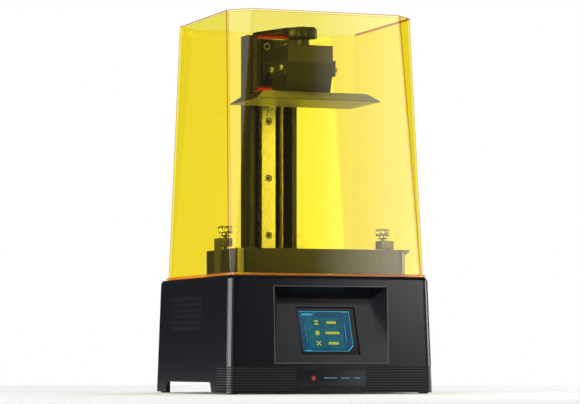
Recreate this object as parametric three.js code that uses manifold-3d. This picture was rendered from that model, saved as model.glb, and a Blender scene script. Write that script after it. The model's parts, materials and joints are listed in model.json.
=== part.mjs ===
// Desktop resin printer: base with a sloping touch screen, lift-off tapered cover, vat and Z axis.
// Millimetres, +Z up. The origin is the centre of the base's footprint on the table.
// +X is the printer's right as one faces it, -Y is its front.
import * as THREE from 'three';
import { ConvexGeometry } from 'three/addons/geometries/ConvexGeometry.js';
import { mergeVertices } from 'three/addons/utils/BufferGeometryUtils.js';
import Module from 'manifold-3d';

const wasm = await Module();
wasm.setup();

// ---- driving dimensions ----
const GAP = 0.3; // clearance between touching pieces

// base: footprint, size at the shoulder, and the narrow bevel above it
const BASE = { width: 222, depth: 227, skirt: 1.2, corner: 9, cornerSteps: 8, wall: 3 };
const SHOULDER = { width: 216, depth: 219, z: 114 };
const DECK = { width: 213, depth: 216, z: 117 };
const ROOF = 6; // thickness of the base's top wall
const FINGER = { height: 10.4, front: -68, back: 79, slope: 7, halfRear: 96 };
const FOOT = { x: 102, y: 104.5, radius: 5, height: 11.7, round: 0.8 };
const RIB = { pitch: 2.6, groove: 1.0, deep: 0.7, count: 10, back: -81 };
const LABEL = { halfWidth: 36, z0: 8.3, z1: 23.6 };
const VENT = { rows: 5, columns: 12, pitchY: 7, pitchZ: 6, y: 16, z: 79.5, width: 2.2, height: 3.6 };

// sloping screen recess in the front
const RECESS = { halfBottom: 60.4, halfTop: 50, z0: 31, z1: 95, zTop: 106.6, frontY: -112.5, backY: -89.5 };
const SCREEN = { width: 63, height: 50.4, thick: 1.5, z: 62.8, setBack: 1.8 };

// print area: centre line of the vat, the printing screen and the build plate
const PRINT_Y = -38;
const LCD = { width: 146, depth: 92, window: [136, 84], thick: 1.2 };
const VAT = { width: 182, depth: 104, corner: 9, y: -39, z1: 145, well: [148, 92] };
const CLAMP = {
  y: PRINT_Y, halfDepth: 8.5, inner: 81.7, outer: 95.1, z0: 148, z1: 156.4, leg: 3.3, screwX: 86.2,
};
const THUMBSCREW = { radius: 7.15, lobes: 12, z0: 161.5, z1: 168.8, hub: 4.4, hubZ: 158.4 };

// transparent cover
const COVER = {
  y: -5.7, wall: 2.5, z0: 117.3, z1: 383.4,
  bottom: [209, 197, 4.5], top: [199.5, 187.3, 20.5],
};
const COVER_RIM = { height: 2.3, proud: 1.9 };

// Z axis
const COLUMN = { halfWidth: 26, front: 52, back: 82, z1: 374.2 };
const RAIL = { x: -7.6, width: 15, front: 47, base: 62, z0: 124.6, holePitch: 60, firstHole: 164.6 };
const SCREW = { x: 12.5, y: 63, radius: 4, z0: 101, z1: 366 };
const BLOCK = { halfWidth: 17, front: 34, z0: 316, z1: 373, seal: 2.4 };
const ARM = { halfWidth: 24.5, front: -52, z0: 341.3, z1: 354.5, roof: 377 };
const KNOB = { y: -32, radius: 15.4, z0: 363.4, z1: 374.4 };

// platform
const PLATE = { width: 134, depth: 82, z0: 296, z1: 305, inset: 10.7 };
const HEAD = { z0: 306.2, z1: 336, groove: 1.8 };
const BALL = { y: PRINT_Y + 8, z: 316, radius: 8 };

// ---- solids ----
function solid(geometry) {
  const bare = geometry.clone();
  bare.deleteAttribute('normal');
  bare.deleteAttribute('uv');
  const merged = mergeVertices(bare, 1e-4);
  const vertProperties = new Float32Array(merged.attributes.position.array);
  const triVerts = new Uint32Array(merged.index.array);
  return new wasm.Manifold(new wasm.Mesh({ numProp: 3, vertProperties, triVerts }));
}

function cut(body, ...tools) {
  return tools.reduce((rest, tool) => rest.subtract(tool), body);
}

// the span between two distances from the middle, on the left (-1) or the right (1)
function across(side, a, b) {
  return [side * a, side * b].sort((p, q) => p - q);
}

function join(first, ...others) {
  return others.reduce((whole, piece) => whole.add(piece), first);
}

function geometryOf(body) {
  const mesh = body.getMesh();
  const geometry = new THREE.BufferGeometry();
  const points = new Float32Array(mesh.numVert * 3);
  for (let i = 0; i < mesh.numVert; i += 1) {
    points.set(mesh.vertProperties.subarray(i * mesh.numProp, i * mesh.numProp + 3), i * 3);
  }
  geometry.setAttribute('position', new THREE.BufferAttribute(points, 3));
  geometry.setIndex(new THREE.BufferAttribute(new Uint32Array(mesh.triVerts), 1));
  geometry.computeVertexNormals();
  return geometry;
}

function box([x0, x1], [y0, y1], [z0, z1]) {
  const geometry = new THREE.BoxGeometry(x1 - x0, y1 - y0, z1 - z0);
  geometry.translate((x0 + x1) / 2, (y0 + y1) / 2, (z0 + z1) / 2);
  return solid(geometry);
}

// box given by its centre in X and Y and its size
function slab(width, depth, y, z0, z1) {
  return box([-width / 2, width / 2], [y - depth / 2, y + depth / 2], [z0, z1]);
}

// round bar along an axis, through the point `at`, from `from` to `to` on that axis
function bar(axis, at, radius, from, to, sides = 24) {
  const geometry = new THREE.CylinderGeometry(radius, radius, to - from, sides);
  if (axis === 'x') geometry.rotateZ(-Math.PI / 2);
  if (axis === 'z') geometry.rotateX(Math.PI / 2);
  const centre = new THREE.Vector3(...at);
  centre[axis] = (from + to) / 2;
  geometry.translate(centre.x, centre.y, centre.z);
  return solid(geometry);
}

// turned piece about Z: profile points are [radius, z]
function turned(profile, [x, y], sides = 28) {
  const points = profile.map(([radius, z]) => new THREE.Vector2(radius, z));
  const geometry = new THREE.LatheGeometry(points, sides);
  geometry.rotateX(Math.PI / 2);
  geometry.translate(x, y, 0);
  return solid(geometry);
}

// outline in X and Y, drawn from z0 to z1
function prism(outline, z0, z1) {
  const shape = outline instanceof THREE.Shape ? outline : polygon(outline);
  const geometry = new THREE.ExtrudeGeometry(shape, { depth: z1 - z0, bevelEnabled: false });
  geometry.translate(0, 0, z0);
  return solid(geometry);
}

function polygon(points) {
  return new THREE.Shape(points.map(([x, y]) => new THREE.Vector2(x, y)));
}

// outline in Y and Z, drawn along X
function prismX(outline, x0, x1) {
  const geometry = new THREE.ExtrudeGeometry(polygon(outline), { depth: x1 - x0, bevelEnabled: false });
  geometry.rotateX(Math.PI / 2).rotateZ(Math.PI / 2);
  geometry.translate(x0, 0, 0);
  return solid(geometry);
}

function hull(points) {
  return solid(new ConvexGeometry(points.map(([x, y, z]) => new THREE.Vector3(x, y, z))));
}

// rectangle with rounded corners, as points at height z
function roundRing(width, depth, radius, z, y = 0, steps = 5) {
  const ring = [];
  const corners = [[1, 1], [-1, 1], [-1, -1], [1, -1]];
  corners.forEach(([sx, sy], corner) => {
    for (let i = 0; i <= steps; i += 1) {
      const angle = (corner + i / steps) * Math.PI / 2;
      ring.push([
        sx * (width / 2 - radius) + radius * Math.cos(angle),
        y + sy * (depth / 2 - radius) + radius * Math.sin(angle),
        z,
      ]);
    }
  });
  return ring;
}

// rectangle with cut corners, as points at height z
function chamferRing(width, depth, chamfer, z, y = 0) {
  const w = width / 2;
  const d = depth / 2;
  const c = chamfer;
  return [
    [w, -d + c], [w, d - c], [w - c, d], [-w + c, d],
    [-w, d - c], [-w, -d + c], [-w + c, -d], [w - c, -d],
  ].map(([px, py]) => [px, y + py, z]);
}

// solid through a stack of convex outlines
function tray(rings) {
  const layers = rings.slice(1).map((ring, i) => hull([...rings[i], ...ring]));
  return join(...layers);
}

// ---- scene graph ----
const printer = new THREE.Group();
printer.name = 'resin_printer';

const FINISH = {
  charcoal: [0x24262a, 0.5, 0.0],
  black: [0x16171a, 0.55, 0.0],
  blackMetal: [0x1b1d20, 0.45, 0.6],
  steel: [0x8d9095, 0.32, 1.0],
  aluminium: [0xb4b6b8, 0.4, 1.0],
  anodised: [0x3a3c3f, 0.42, 0.8],
  brass: [0xb08d45, 0.35, 1.0],
  red: [0xc3271c, 0.5, 0.0],
  rubber: [0x101012, 0.9, 0.0],
  circuit: [0x1f4a33, 0.6, 0.0],
  screen: [0x0c3f66, 0.15, 0.0],
  film: [0xd8d4c4, 0.2, 0.0],
  cover: [0xf0d820, 0.08, 0.0],
  coverEdge: [0xc87818, 0.2, 0.0],
};

function place(name, body, finish, parent = printer) {
  const [color, roughness, metalness] = FINISH[finish];
  const material = new THREE.MeshStandardMaterial({ color, roughness, metalness });
  if (finish === 'cover') Object.assign(material, { transparent: true, opacity: 0.4 });
  const mesh = new THREE.Mesh(geometryOf(body), material);
  mesh.name = name;
  parent.add(mesh);
}

// ---- base ----
// the base's outer form, moved in by `inset`
function baseForm(inset, z0 = BASE.skirt) {
  const size = (part) => [part.width - 2 * inset, part.depth - 2 * inset, BASE.corner - Math.min(inset, 4)];
  const levels = [
    [...size(BASE), z0],
    [...size(SHOULDER), SHOULDER.z],
    [...size(DECK), DECK.z],
  ];
  return tray(levels.map((level) => roundRing(...level, 0, BASE.cornerSteps)));
}

// wedge-shaped pocket of the screen recess, grown outwards by `grow`
function recessForm(grow) {
  const low = RECESS.halfBottom + grow;
  const high = RECESS.halfTop + grow;
  const outside = RECESS.frontY - 12;
  return hull([-1, 1].flatMap((side) => [
    [side * low, RECESS.frontY + grow * 1.2, RECESS.z0 - grow],
    [side * high, RECESS.backY + grow, RECESS.z1 + grow],
    [side * low, -109.76 + grow, RECESS.zTop + grow],
    [side * low, outside, RECESS.z0 - grow],
    [side * low, outside, RECESS.zTop + grow],
  ]));
}

// piece laid in the sloping plane of the recess, `depth` behind its face
function onSlope(width, height, front, back, shift = 0) {
  const rise = RECESS.z1 - RECESS.z0;
  const run = RECESS.backY - RECESS.frontY;
  const geometry = new THREE.BoxGeometry(width, back - front, height);
  geometry.translate(0, (front + back) / 2, shift);
  geometry.rotateX(-Math.atan2(run, rise));
  geometry.translate(0, RECESS.frontY + (SCREEN.z - RECESS.z0) * run / rise, SCREEN.z);
  return solid(geometry);
}

// one lengthwise finger gap under a side of the base, cut along X
function fingerGap(x0, x1) {
  const { height, front, back, slope } = FINGER;
  const top = BASE.skirt + height;
  return prismX([[front, -1], [back, -1], [back - slope, top], [front + slope, top]], x0, x1);
}

function ribGrooves() {
  const skin = cut(baseForm(-1, 0), baseForm(RIB.deep, -1));
  const front = [-BASE.depth / 2 - 2, RIB.back];
  const halfLabel = LABEL.halfWidth + 2;
  const label = box([-halfLabel, halfLabel], [front[0], -100], [LABEL.z0 - 1.2, LABEL.z1 + 1.2]);
  const grooves = Array.from({ length: RIB.count }, (_, i) => {
    const z = BASE.skirt + 1.6 + i * RIB.pitch;
    return box([-BASE.width, BASE.width], front, [z, z + RIB.groove]).intersect(skin);
  });
  return grooves.map((groove) => groove.subtract(label));
}

function sideVents(side) {
  const slots = [];
  const x = across(side, SHOULDER.width / 2 - 8, BASE.width / 2 + 2);
  for (let row = 0; row < VENT.rows; row += 1) {
    for (let column = 0; column < VENT.columns; column += 1) {
      const y = VENT.y + (column - (VENT.columns - 1) / 2) * VENT.pitchY;
      const z = VENT.z + (row - (VENT.rows - 1) / 2) * VENT.pitchZ;
      slots.push(box(x, [y, y + VENT.width], [z, z + VENT.height]));
    }
  }
  return slots;
}

const FAN = { x: -45, z: 56, size: 60, y: [94, 104], hub: 11, blades: 7 };
const ROCKER = { pivotY: 105, tilt: 8 };
const SOCKETS = { power: [64, 40], rocker: [64, 66], usb: [-60, 44] };

function baseHousing() {
  const aboveRoof = box([-120, 120], [-120, 120], [DECK.z - ROOF, 130]);
  const cavity = cut(baseForm(BASE.wall, -2), aboveRoof, recessForm(BASE.wall));
  const post = (sx, sy) => bar('z', [sx * 99, sy * 101, 0], 5, 13.8, 112, 12);
  const posts = [-1, 1].flatMap((sx) => [post(sx, -1), post(sx, 1)]);
  const opening = box([-91, 91], [-88, 86], [100, 120]);
  const rebate = box([-97, 97], [-94, 92], [DECK.z - 3.4, 120]);
  const screenHole = onSlope(SCREEN.width + 0.6, SCREEN.height + 0.6, -6, 12);
  const halfBed = LABEL.halfWidth + GAP;
  const labelBed = box([-halfBed, halfBed], [-120, -111.7], [LABEL.z0 - GAP, LABEL.z1 + GAP]);
  const fanSlots = Array.from({ length: 7 }, (_, i) => {
    const z = FAN.z - 21 + i * 7;
    const half = Math.sqrt(26 ** 2 - (z - FAN.z) ** 2);
    return box([FAN.x - half, FAN.x + half], [100, 120], [z - 1.5, z + 1.5]);
  });
  const around = (centre, half) => [centre - half, centre + half];
  const { power, rocker, usb } = SOCKETS;
  const sockets = [
    box(around(power[0], 6.3), [100, 120], around(power[1], 6.3)),
    box(around(rocker[0], 7.3), [100, 120], around(rocker[1], 10.8)),
    box([100, 120], around(usb[0], 7), around(usb[1], 3.8)),
  ];
  const w = FINGER.halfRear;
  const backGap = prism([[-w, 100], [w, 100], [w, 120], [-w, 120]], -2, BASE.skirt + FINGER.height);
  const shell = join(cut(baseForm(0), cavity), ...posts.map((post) => post.intersect(baseForm(1))));
  return cut(
    shell, recessForm(0), screenHole, opening, rebate, labelBed, backGap,
    fingerGap(-120, -100), fingerGap(100, 120), ...ribGrooves(), ...sideVents(-1), ...sideVents(1),
    ...fanSlots, ...sockets,
  );
}

function basePlate() {
  return prism(roundOutline(212.5, 217.5, 4), 12, 13.5);
}

function roundOutline(width, depth, radius, y = 0) {
  return polygon(roundRing(width, depth, radius, 0, y, 4).map(([px, py]) => [px, py]));
}

function deckPlate() {
  const plate = prism(roundOutline(193.4, 185.4, 2, -1), DECK.z - 3.1, DECK.z - 0.1);
  const [windowWidth, windowDepth] = LCD.window;
  return cut(
    plate,
    slab(windowWidth, windowDepth, PRINT_Y, 100, 130),
    slab(LCD.width + 0.6, LCD.depth + 0.6, PRINT_Y, DECK.z - 0.1 - LCD.thick - GAP, 130),
    bar('z', [SCREW.x, SCREW.y, 0], 6, 100, 130),
  );
}

place('base_housing', baseHousing(), 'charcoal');
place('base_plate', basePlate(), 'blackMetal');
for (const [side, sx] of [['left', -1], ['right', 1]]) {
  for (const [end, sy] of [['front', -1], ['rear', 1]]) {
    const { radius, height, round } = FOOT;
    const side2d = [[0, 0], [radius - round, 0], [radius, round], [radius, height], [0, height]];
    const foot = turned(side2d, [sx * FOOT.x, sy * FOOT.y], 20);
    place(`foot_${end}_${side}`, foot, 'rubber');
  }
}
const labelWidth = [-LABEL.halfWidth, LABEL.halfWidth];
place('front_label_plate', box(labelWidth, [-113, -112], [LABEL.z0, LABEL.z1]), 'black');
const screenBack = SCREEN.setBack + SCREEN.thick;
place('touch_screen', onSlope(SCREEN.width, SCREEN.height, SCREEN.setBack, screenBack), 'screen');
place('display_board', onSlope(60, 48, screenBack + GAP, screenBack + GAP + 1.6), 'circuit');
place('deck_plate', deckPlate(), 'blackMetal');

// ---- light engine and electronics inside the base ----
function lightReflector() {
  const skin = (grow) => hull([
    ...chamferRing(LCD.window[0] + 2 * grow, LCD.window[1] + 2 * grow, 1, DECK.z - 3.4, PRINT_Y),
    ...chamferRing(76 + 2 * grow, 52 + 2 * grow, 1, 73.3, PRINT_Y),
  ]);
  const [windowWidth, windowDepth] = LCD.window;
  const mouths = [slab(76, 52, PRINT_Y, 60, 74), slab(windowWidth, windowDepth, PRINT_Y, 113, 120)];
  return cut(skin(2), skin(0), ...mouths);
}

function heatSink() {
  const fins = Array.from({ length: 9 }, (_, i) => {
    const x = -40 + i * 10;
    return box([x - 1, x + 1], [PRINT_Y - 32, PRINT_Y + 32], [46, 67]);
  });
  return join(slab(84, 64, PRINT_Y, 66, 71), ...fins);
}

function fanFrame() {
  const half = FAN.size / 2;
  const frame = box([FAN.x - half, FAN.x + half], FAN.y, [FAN.z - half, FAN.z + half]);
  const ring = cut(frame, bar('y', [FAN.x, 0, FAN.z], 28, 80, 120, 32));
  const spokes = [0, 1].map((i) => {
    const geometry = new THREE.BoxGeometry(58, 1.6, 3);
    geometry.rotateY(Math.PI / 4 + i * Math.PI / 2);
    geometry.translate(FAN.x, FAN.y[0] + 0.8, FAN.z);
    return solid(geometry);
  });
  return join(ring, ...spokes, bar('y', [FAN.x, 0, FAN.z], FAN.hub, FAN.y[0], FAN.y[0] + 1.6));
}

function fanRotor() {
  const front = FAN.y[0] + 1.9;
  const hub = bar('y', [FAN.x, 0, FAN.z], FAN.hub, front, FAN.y[1] - 0.5);
  const blades = Array.from({ length: FAN.blades }, (_, i) => {
    const geometry = new THREE.BoxGeometry(18, 1.2, 9);
    geometry.rotateX(0.6);
    geometry.translate(FAN.hub + 7.5, 0, 0);
    geometry.rotateY(i * 2 * Math.PI / FAN.blades);
    geometry.translate(FAN.x, (front + FAN.y[1]) / 2, FAN.z);
    return solid(geometry);
  });
  return join(hub, ...blades);
}

const deckTop = DECK.z - 0.1;
place('printing_screen', slab(LCD.width, LCD.depth, PRINT_Y, deckTop - LCD.thick, deckTop), 'black');
place('light_reflector', lightReflector(), 'aluminium');
place('led_board', slab(84, 64, PRINT_Y, 71.3, 73), 'circuit');
place('heat_sink', heatSink(), 'aluminium');
place('fan_frame', fanFrame(), 'black');
place('fan_rotor', fanRotor(), 'black');
place('mainboard', box([-92, -8], [10, 80], [20, 21.6]), 'circuit');

// a box-shaped socket body behind a wall, hollowed from its mouth
function powerInlet() {
  const [x, z] = SOCKETS.power;
  const body = box([x - 6, x + 6], [96, 112.2], [z - 6, z + 6]);
  return join(cut(body, bar('y', [x, 0, z], 4, 99, 120, 20)), bar('y', [x, 0, z], 1.2, 98, 108, 12));
}

function rockerFrame() {
  const [x, z] = SOCKETS.rocker;
  const flange = box([x - 9, x + 9], [111.95, 112.9], [z - 12.5, z + 12.5]);
  const body = box([x - 7, x + 7], [92, 112], [z - 10.5, z + 10.5]);
  return cut(join(body, flange), box([x - 5.5, x + 5.5], [95, 120], [z - 9, z + 9]));
}

// see-saw cap: two faces meeting in a shallow valley, resting on its lower half
function rockerCap() {
  const [x, z] = SOCKETS.rocker;
  const tilt = THREE.MathUtils.degToRad(ROCKER.tilt);
  const outline = [[-1, -6], [7.3, -7], [5.8, 0], [7.3, 7], [-1, 6], [-4, 0]];
  const turned = outline.map(([dy, dz]) => [
    ROCKER.pivotY + dy * Math.cos(tilt) - dz * Math.sin(tilt),
    z + dy * Math.sin(tilt) + dz * Math.cos(tilt),
  ]);
  return prismX(turned, x - 5, x + 5);
}

function usbSocket() {
  const [y, z] = SOCKETS.usb;
  const shell = box([94, 109.8], [y - 6.6, y + 6.6], [z - 3.4, z + 3.4]);
  const mouth = box([97, 120], [y - 6, y + 6], [z - 2.7, z + 2.7]);
  return join(cut(shell, mouth), box([95, 107], [y - 5.4, y + 5.4], [z + 0.2, z + 1.9]));
}

place('power_inlet', powerInlet(), 'black');
place('power_switch', rockerFrame(), 'black');
place('power_rocker', rockerCap(), 'black');
place('usb_socket', usbSocket(), 'steel');

// ---- Z axis ----
function stepperMotor() {
  const c = 4;
  const h = 21;
  const outline = [
    [h - c, -h], [h, -h + c], [h, h - c], [h - c, h], [-h + c, h], [-h, h - c], [-h, -h + c], [-h + c, -h],
  ].map(([x, y]) => [SCREW.x + x, SCREW.y + y]);
  return join(prism(outline, 42, 80), bar('z', [SCREW.x, SCREW.y, 0], 11, 79, 82, 32));
}

// round bar on the lead screw's axis
const onScrew = (radius, z0, z1, sides) => bar('z', [SCREW.x, SCREW.y, 0], radius, z0, z1, sides);

function column() {
  const { halfWidth, front, back, z1 } = COLUMN;
  const profile = box([-halfWidth, halfWidth], [front, back], [DECK.z + 0.2, z1]);
  const tall = [0, 400];
  return cut(
    profile,
    box([-22, 5], [0, RAIL.base + GAP], tall),
    box([4, 21], [0, 71], tall),
    box([-22, 0.5], [66.5, 78.5], tall),
  );
}

// rail section with its waist, offset outwards by `grow`
function railSection() {
  const half = RAIL.width / 2;
  const waist = half - 1.6;
  const { x, front, base } = RAIL;
  const flank = [[half, base], [half, base - 5], [waist, base - 7.5]];
  const side = [...flank, [waist, front + 4.5], [half, front + 3], [half, front]];
  return [
    ...side.map(([px, py]) => [x + px, py]),
    ...side.reverse().map(([px, py]) => [x - px, py]),
  ];
}

function linearRail() {
  const holes = Array.from({ length: 4 }, (_, i) => {
    const z = RAIL.firstHole + i * RAIL.holePitch;
    return join(
      bar('y', [RAIL.x, 0, z], 3.75, 40, RAIL.front + 6, 20),
      bar('y', [RAIL.x, 0, z], 2.25, 40, RAIL.base + 4, 16),
    );
  });
  return cut(prism(railSection(), RAIL.z0, COLUMN.z1 - 0.4), ...holes);
}

// carriage section between two heights: wide over the rail, narrower where it reaches into the column
function carriageSlice(z0, z1, trim = 0) {
  const x = [RAIL.x - BLOCK.halfWidth + trim, RAIL.x + BLOCK.halfWidth - trim];
  const body = join(
    box(x, [BLOCK.front + trim, 51.6], [z0, z1]),
    box([RAIL.x - 14, RAIL.x + 14], [51, 57.7 - trim], [z0, z1]),
  );
  return cut(body, box([RAIL.x - 7.9, RAIL.x + 7.9], [RAIL.front - 0.4, 70], [z0 - 1, z1 + 1]));
}

function nutBracket() {
  const foot = box([10, 20.2], [BLOCK.front, 52], [350.3, 356.3]);
  const plate = join(foot, turned([[0, 350.3], [7.6, 350.3], [7.6, 356.3], [0, 356.3]], [SCREW.x, SCREW.y]));
  const bridge = box([10, 20], [50, 62], [350.3, 356.3]);
  return cut(join(plate, bridge), onScrew(SCREW.radius + GAP, 340, 360, 24));
}

function leadNut() {
  const r = SCREW.radius + GAP;
  const profile = [[r, 332], [5.6, 332], [5.6, 346.5], [7.4, 346.5], [7.4, 350], [r, 350], [r, 332]];
  return turned(profile, [SCREW.x, SCREW.y], 24);
}

function screwBearing() {
  const holder = box([6.8, 20.6], [54, 70.6], [361, 367]);
  return cut(holder, onScrew(SCREW.radius + GAP, 350, 380, 24));
}

// arm: mount bolted to the carriage, beam with a forked end, and a tapering roof plate above
function carriageArm() {
  const { halfWidth, front, z0, z1, roof } = ARM;
  const face = BLOCK.front - GAP;
  const mount = box([-26, 21], [face - 11, face], [319, 368]);
  const web = box([11, 21], [face - 11, face], [360, roof - 3]);
  const beam = box([-halfWidth, halfWidth], [front, face - 6], [z0, z1]);
  const braceSide = [[face - 11, 323], [face - 11, z0 + 1], [-6, z0 + 1], [4, 334]];
  const brace = prismX(braceSide, -halfWidth + 1, halfWidth - 6);
  const roofPlate = prism([[-26, 46], [-26, 36], [-9, -12], [9, -12], [22, 22], [22, 46]], roof - 3.6, roof);
  const fork = box([-4.5, 4.5], [front - 5, KNOB.y + 5], [300, 360]);
  const pocket = (x, z) => bar('y', [x, 0, z], 4.6, face - 20, face - 5, 18);
  const pockets = [-18, 4].flatMap((x) => [pocket(x, 328), pocket(x, 361)]);
  return cut(join(mount, web, beam, brace, roofPlate), fork, ...pockets);
}

place('stepper_motor', stepperMotor(), 'blackMetal');
place('motor_shaft', onScrew(2.5, 82.3, 96, 16), 'steel');
const couplerBores = [onScrew(2.8, 80, 97, 16), onScrew(4.3, 96.9, 120, 20)];
place('shaft_coupler', cut(onScrew(8, 86, 110, 24), ...couplerBores), 'aluminium');
place('lead_screw', onScrew(SCREW.radius, SCREW.z0, SCREW.z1, 20), 'steel');
place('screw_bearing', screwBearing(), 'brass');
place('column', column(), 'anodised');
place('column_cap', box(
  [-COLUMN.halfWidth, COLUMN.halfWidth],
  [RAIL.base, COLUMN.back],
  [COLUMN.z1 + GAP, ARM.roof],
), 'anodised');
place('linear_rail', linearRail(), 'steel');
place('limit_sensor', box([-21, -16], [52, 61.5], [122, 134]), 'black');
const sealInner = [BLOCK.z0 + BLOCK.seal, BLOCK.z1 - BLOCK.seal];
place('carriage_block', carriageSlice(sealInner[0] + GAP, sealInner[1] - GAP), 'steel');
place('lower_seal', carriageSlice(BLOCK.z0, sealInner[0]), 'red');
place('upper_seal', carriageSlice(sealInner[1], BLOCK.z1), 'red');
place('carriage_arm', carriageArm(), 'anodised');
place('nut_bracket', nutBracket(), 'blackMetal');
place('lead_nut', leadNut(), 'brass');

// ---- platform ----
function platformHead() {
  const ring = (width, front, back, z) => [
    [-width / 2, front, z], [width / 2, front, z], [width / 2, back, z], [-width / 2, back, z],
  ];
  const body = hull([...ring(48.5, -47, -10, HEAD.z0), ...ring(51.6, -54, -6, HEAD.z1)]);
  const socket = bar('z', [0, BALL.y, 0], BALL.radius + 0.4, 300, 326, 24);
  return cut(body, socket, bar('z', [0, BALL.y, 0], 10, 300, 309, 24));
}

function buildPlate() {
  const { width, depth, z0, z1, inset } = PLATE;
  return hull([
    ...chamferRing(width, depth, 0.6, z0, PRINT_Y),
    ...chamferRing(width, depth, 0.6, z0 + 0.8, PRINT_Y),
    ...chamferRing(width - 2 * inset, depth - 2 * inset, 0.6, z1, PRINT_Y),
  ]);
}

// ball on a foot that is screwed to the build plate
function pivotBall() {
  const geometry = new THREE.SphereGeometry(BALL.radius, 20, 12);
  geometry.rotateX(Math.PI / 2).translate(0, BALL.y, BALL.z);
  const foot = turned([[0, 305.3], [9, 305.3], [9, 306], [4, 308], [4, 312], [0, 312]], [0, BALL.y], 20);
  return join(solid(geometry), foot);
}

// plate between head and arm, turned up in front of the arm's forked end; a groove parts it from the head
function platformSaddle() {
  const seat = box([-25, 25], [-52.4, -6], [HEAD.z1 + GAP, ARM.z0 - GAP]);
  const lip = box([-24.5, 24.5], [-54, ARM.front - GAP], [HEAD.z1 + HEAD.groove, ARM.z1]);
  return cut(join(seat, lip), bar('z', [0, KNOB.y, 0], 4, 300, 400, 20));
}

function clampWasher() {
  const z = [ARM.z1 + GAP, ARM.z1 + 1.7];
  return turned([[4, z[0]], [9, z[0]], [9, z[1]], [4, z[1]], [4, z[0]]], [0, KNOB.y], 24);
}

function clampKnob() {
  const knob = lobedKnob({ ...KNOB, lobes: 6, hub: 7, hubZ: 356.5 });
  return cut(knob, bar('z', [0, KNOB.y, 0], 4, 350, 367, 20));
}

// lobed hand knob with a hub below
function lobedKnob({ x = 0, y, radius, lobes, z0, z1, hub, hubZ }) {
  const outline = Array.from({ length: lobes * 8 }, (_, i) => {
    const angle = i * 2 * Math.PI / (lobes * 8);
    const r = radius * (0.91 + 0.09 * Math.cos(angle * lobes));
    return [x + r * Math.cos(angle), y + r * Math.sin(angle)];
  });
  return join(prism(outline, z0, z1), bar('z', [x, y, 0], hub, hubZ, z0 + 1, 24));
}

place('build_plate', buildPlate(), 'aluminium');
place('pivot_ball', pivotBall(), 'steel');
place('platform_head', platformHead(), 'anodised');
place('platform_saddle', platformSaddle(), 'black');
place('clamp_stud', bar('z', [0, KNOB.y, 0], 3.7, HEAD.z1 + GAP, 366, 20), 'brass');
place('clamp_washer', clampWasher(), 'steel');
place('clamp_knob', clampKnob(), 'black');
for (const [side, sx] of [['left', -1], ['right', 1]]) {
  place(`lock_plate_${side}`, box(across(sx, 26.2, 28), [-53, -16], [323.5, 339.5]), 'black');
  for (const [end, y] of [['front', -48], ['rear', -22]]) {
    const x = across(sx, 28.3, 31.2);
    place(`lock_screw_${end}_${side}`, bar('x', [0, y, 331], 2.8, x[0], x[1], 16), 'steel');
  }
}

// ---- vat ----
function resinVat() {
  const { width, depth, corner, y, z1, well } = VAT;
  const z0 = DECK.z + 0.2;
  const spout = bar('z', [width / 2 - 6, y - depth / 2 + 12, 0], 7.6, z1 - 5, z1, 24);
  return cut(
    join(prism(roundOutline(width, depth, corner, y), z0, z1), spout),
    prism(roundOutline(well[0], well[1], 6, y), z0 - 1, z1 + 1),
    prism(roundOutline(156, 98.6, 3, y), z0 - 1, z0 + 3),
  );
}

const vatBase = DECK.z + 0.2;
place('resin_vat', resinVat(), 'anodised');
place('release_film', slab(152, 96, VAT.y, vatBase, vatBase + 0.4), 'film');
place('film_ring', cut(
  prism(roundOutline(155.2, 98, 3, VAT.y), vatBase + 0.7, vatBase + 2.7),
  prism(roundOutline(142, 88, 6, VAT.y), vatBase, vatBase + 4),
), 'aluminium');

for (const [side, sx] of [['left', -1], ['right', 1]]) {
  const depth = [CLAMP.y - CLAMP.halfDepth, CLAMP.y + CLAMP.halfDepth];
  const screwAt = [sx * CLAMP.screwX, CLAMP.y, 0];
  const bracket = join(
    box(across(sx, CLAMP.inner, CLAMP.outer), depth, [CLAMP.z0, CLAMP.z1]),
    box(across(sx, CLAMP.outer - CLAMP.leg, CLAMP.outer), depth, [vatBase, CLAMP.z1]),
  );
  place(`vat_clamp_${side}`, cut(bracket, bar('z', screwAt, 2.4, 140, 160, 16)), 'blackMetal');
  const head = lobedKnob({ ...THUMBSCREW, x: screwAt[0], y: CLAMP.y });
  place(`vat_thumbscrew_${side}`, join(head, bar('z', screwAt, 2.1, VAT.z1 + GAP, 159, 16)), 'steel');
}

// ---- cover ----
function coverForm(grow, z0, z1) {
  const ring = ([width, depth, chamfer], z) => (
    chamferRing(width + 2 * grow, depth + 2 * grow, chamfer + grow * (2 - Math.SQRT2), z, COVER.y)
  );
  return hull([...ring(COVER.bottom, z0), ...ring(COVER.top, z1)]);
}

const coverFoot = COVER.z0 + COVER_RIM.height + GAP;
const above = (z) => slab(300, 300, 0, z, 400);
const inside = cut(coverForm(-COVER.wall, COVER.z0, COVER.z1), above(COVER.z1 - COVER.wall));
const rimForm = cut(coverForm(COVER_RIM.proud, COVER.z0, COVER.z1), above(COVER.z0 + COVER_RIM.height));
place('cover', cut(coverForm(0, coverFoot, COVER.z1), inside), 'cover');
place('cover_rim', cut(rimForm, inside), 'coverEdge');

export default printer;
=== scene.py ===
import json
import math

import bmesh
import bpy
from mathutils import Matrix, Vector


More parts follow.
